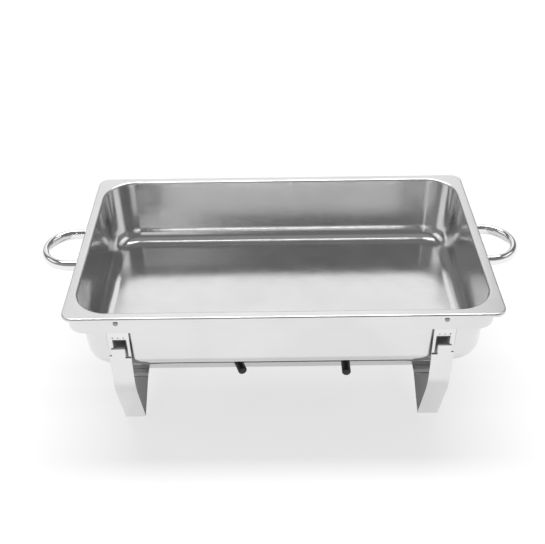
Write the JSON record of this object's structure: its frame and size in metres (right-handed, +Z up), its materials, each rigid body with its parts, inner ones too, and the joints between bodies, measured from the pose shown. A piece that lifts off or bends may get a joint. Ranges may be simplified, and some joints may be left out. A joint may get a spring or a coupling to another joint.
{
  "type": "chafing dish food warmer",
  "caption": "Rectangular stainless steel chafing dish: a full-size water pan in a handled band on folding strip-steel legs, over a shelf with lidded fuel burners.",
  "frame": {"origin": "on the table under the middle of the dish", "axes": "+X along the dish to its right end, -Y towards the front where the burner grips point, +Z up"},
  "size_m": [0.6324, 0.325, 0.2075],
  "materials": {
    "stainless_satin": "satin stainless steel with fine horizontal grain",
    "stainless_polished": "bright polished stainless steel",
    "black_phenolic": "black heat-resistant plastic, semi-matt"
  },
  "bodies": {
    "frame": {"rim_band_front": "stainless_satin", "rim_band_rear": "stainless_satin", "rim_band_left": "stainless_satin", "rim_band_right": "stainless_satin", "rim_band_left_front": "stainless_satin", "rim_band_right_front": "stainless_satin", "rim_band_left_rear": "stainless_satin", "rim_band_right_rear": "stainless_satin", "left_handle": "stainless_polished", "right_handle": "stainless_polished", "left_front_handle_screw": "stainless_satin", "left_front_pivot_rivet": "stainless_polished", "left_rear_handle_screw": "stainless_satin", "left_rear_pivot_rivet": "stainless_polished", "right_front_handle_screw": "stainless_satin", "right_front_pivot_rivet": "stainless_polished", "right_rear_handle_screw": "stainless_satin", "right_rear_pivot_rivet": "stainless_polished"},
    "pan": {"water_pan": "stainless_satin"},
    "left_legs": {"left_front_bracket": "stainless_polished", "left_front_leg": "stainless_polished", "left_rear_bracket": "stainless_polished", "left_rear_leg": "stainless_polished", "left_cross_strip": "stainless_satin"},
    "right_legs": {"right_front_bracket": "stainless_polished", "right_front_leg": "stainless_polished", "right_rear_bracket": "stainless_polished", "right_rear_leg": "stainless_polished", "right_cross_strip": "stainless_satin"},
    "shelf": {"fuel_shelf": "stainless_satin"},
    "left_burner": {"left_burner_cup": "stainless_polished", "left_burner_stem": "stainless_polished", "left_burner_grip": "black_phenolic"},
    "left_lid": {"left_burner_lid": "stainless_polished", "left_damper_rivet": "stainless_polished"},
    "left_damper": {"left_damper": "stainless_polished"},
    "right_burner": {"right_burner_cup": "stainless_polished", "right_burner_stem": "stainless_polished", "right_burner_grip": "black_phenolic"},
    "right_lid": {"right_burner_lid": "stainless_polished", "right_damper_rivet": "stainless_polished"},
    "right_damper": {"right_damper": "stainless_polished"}
  },
  "joints": [
    {"name": "pan_lift", "type": "slide", "parent": "frame", "child": "pan", "axis": [0, 0, 1], "range_m": [0, 0.12]},
    {"name": "left_legs_fold", "type": "hinge", "parent": "frame", "child": "left_legs", "pos_m": [-0.1977, 0, 0.1955], "axis": [0, -1, 0], "range_deg": [0, 25]},
    {"name": "right_legs_fold", "type": "hinge", "parent": "frame", "child": "right_legs", "pos_m": [0.1977, 0, 0.1955], "axis": [0, 1, 0], "range_deg": [0, 25]},
    {"name": "shelf_rise", "type": "slide", "parent": "frame", "child": "shelf", "axis": [0, 0, 1], "range_m": [0, 0.022]},
    {"name": "left_burner_slide", "type": "slide", "parent": "shelf", "child": "left_burner", "axis": [0, -1, 0], "range_m": [0, 0.045]},
    {"name": "left_lid_lift", "type": "slide", "parent": "left_burner", "child": "left_lid", "axis": [0, 0, 1], "range_m": [0, 0.008]},
    {"name": "left_damper_turn", "type": "hinge", "parent": "left_lid", "child": "left_damper", "pos_m": [-0.09242, 0.03026, 0.0722], "axis": [0, 0, 1], "range_deg": [0, 80]},
    {"name": "right_burner_slide", "type": "slide", "parent": "shelf", "child": "right_burner", "axis": [0, -1, 0], "range_m": [0, 0.045]},
    {"name": "right_lid_lift", "type": "slide", "parent": "right_burner", "child": "right_lid", "axis": [0, 0, 1], "range_m": [0, 0.008]},
    {"name": "right_damper_turn", "type": "hinge", "parent": "right_lid", "child": "right_damper", "pos_m": [0.088, 0.032, 0.0722], "axis": [0, 0, 1], "range_deg": [0, 80]}
  ],
  "couplings": [
    {"joint": "right_legs_fold", "follows": "left_legs_fold", "ratio": 1},
    {"joint": "shelf_rise", "follows": "left_legs_fold", "m_per_rad": 0.0501}
  ]
}
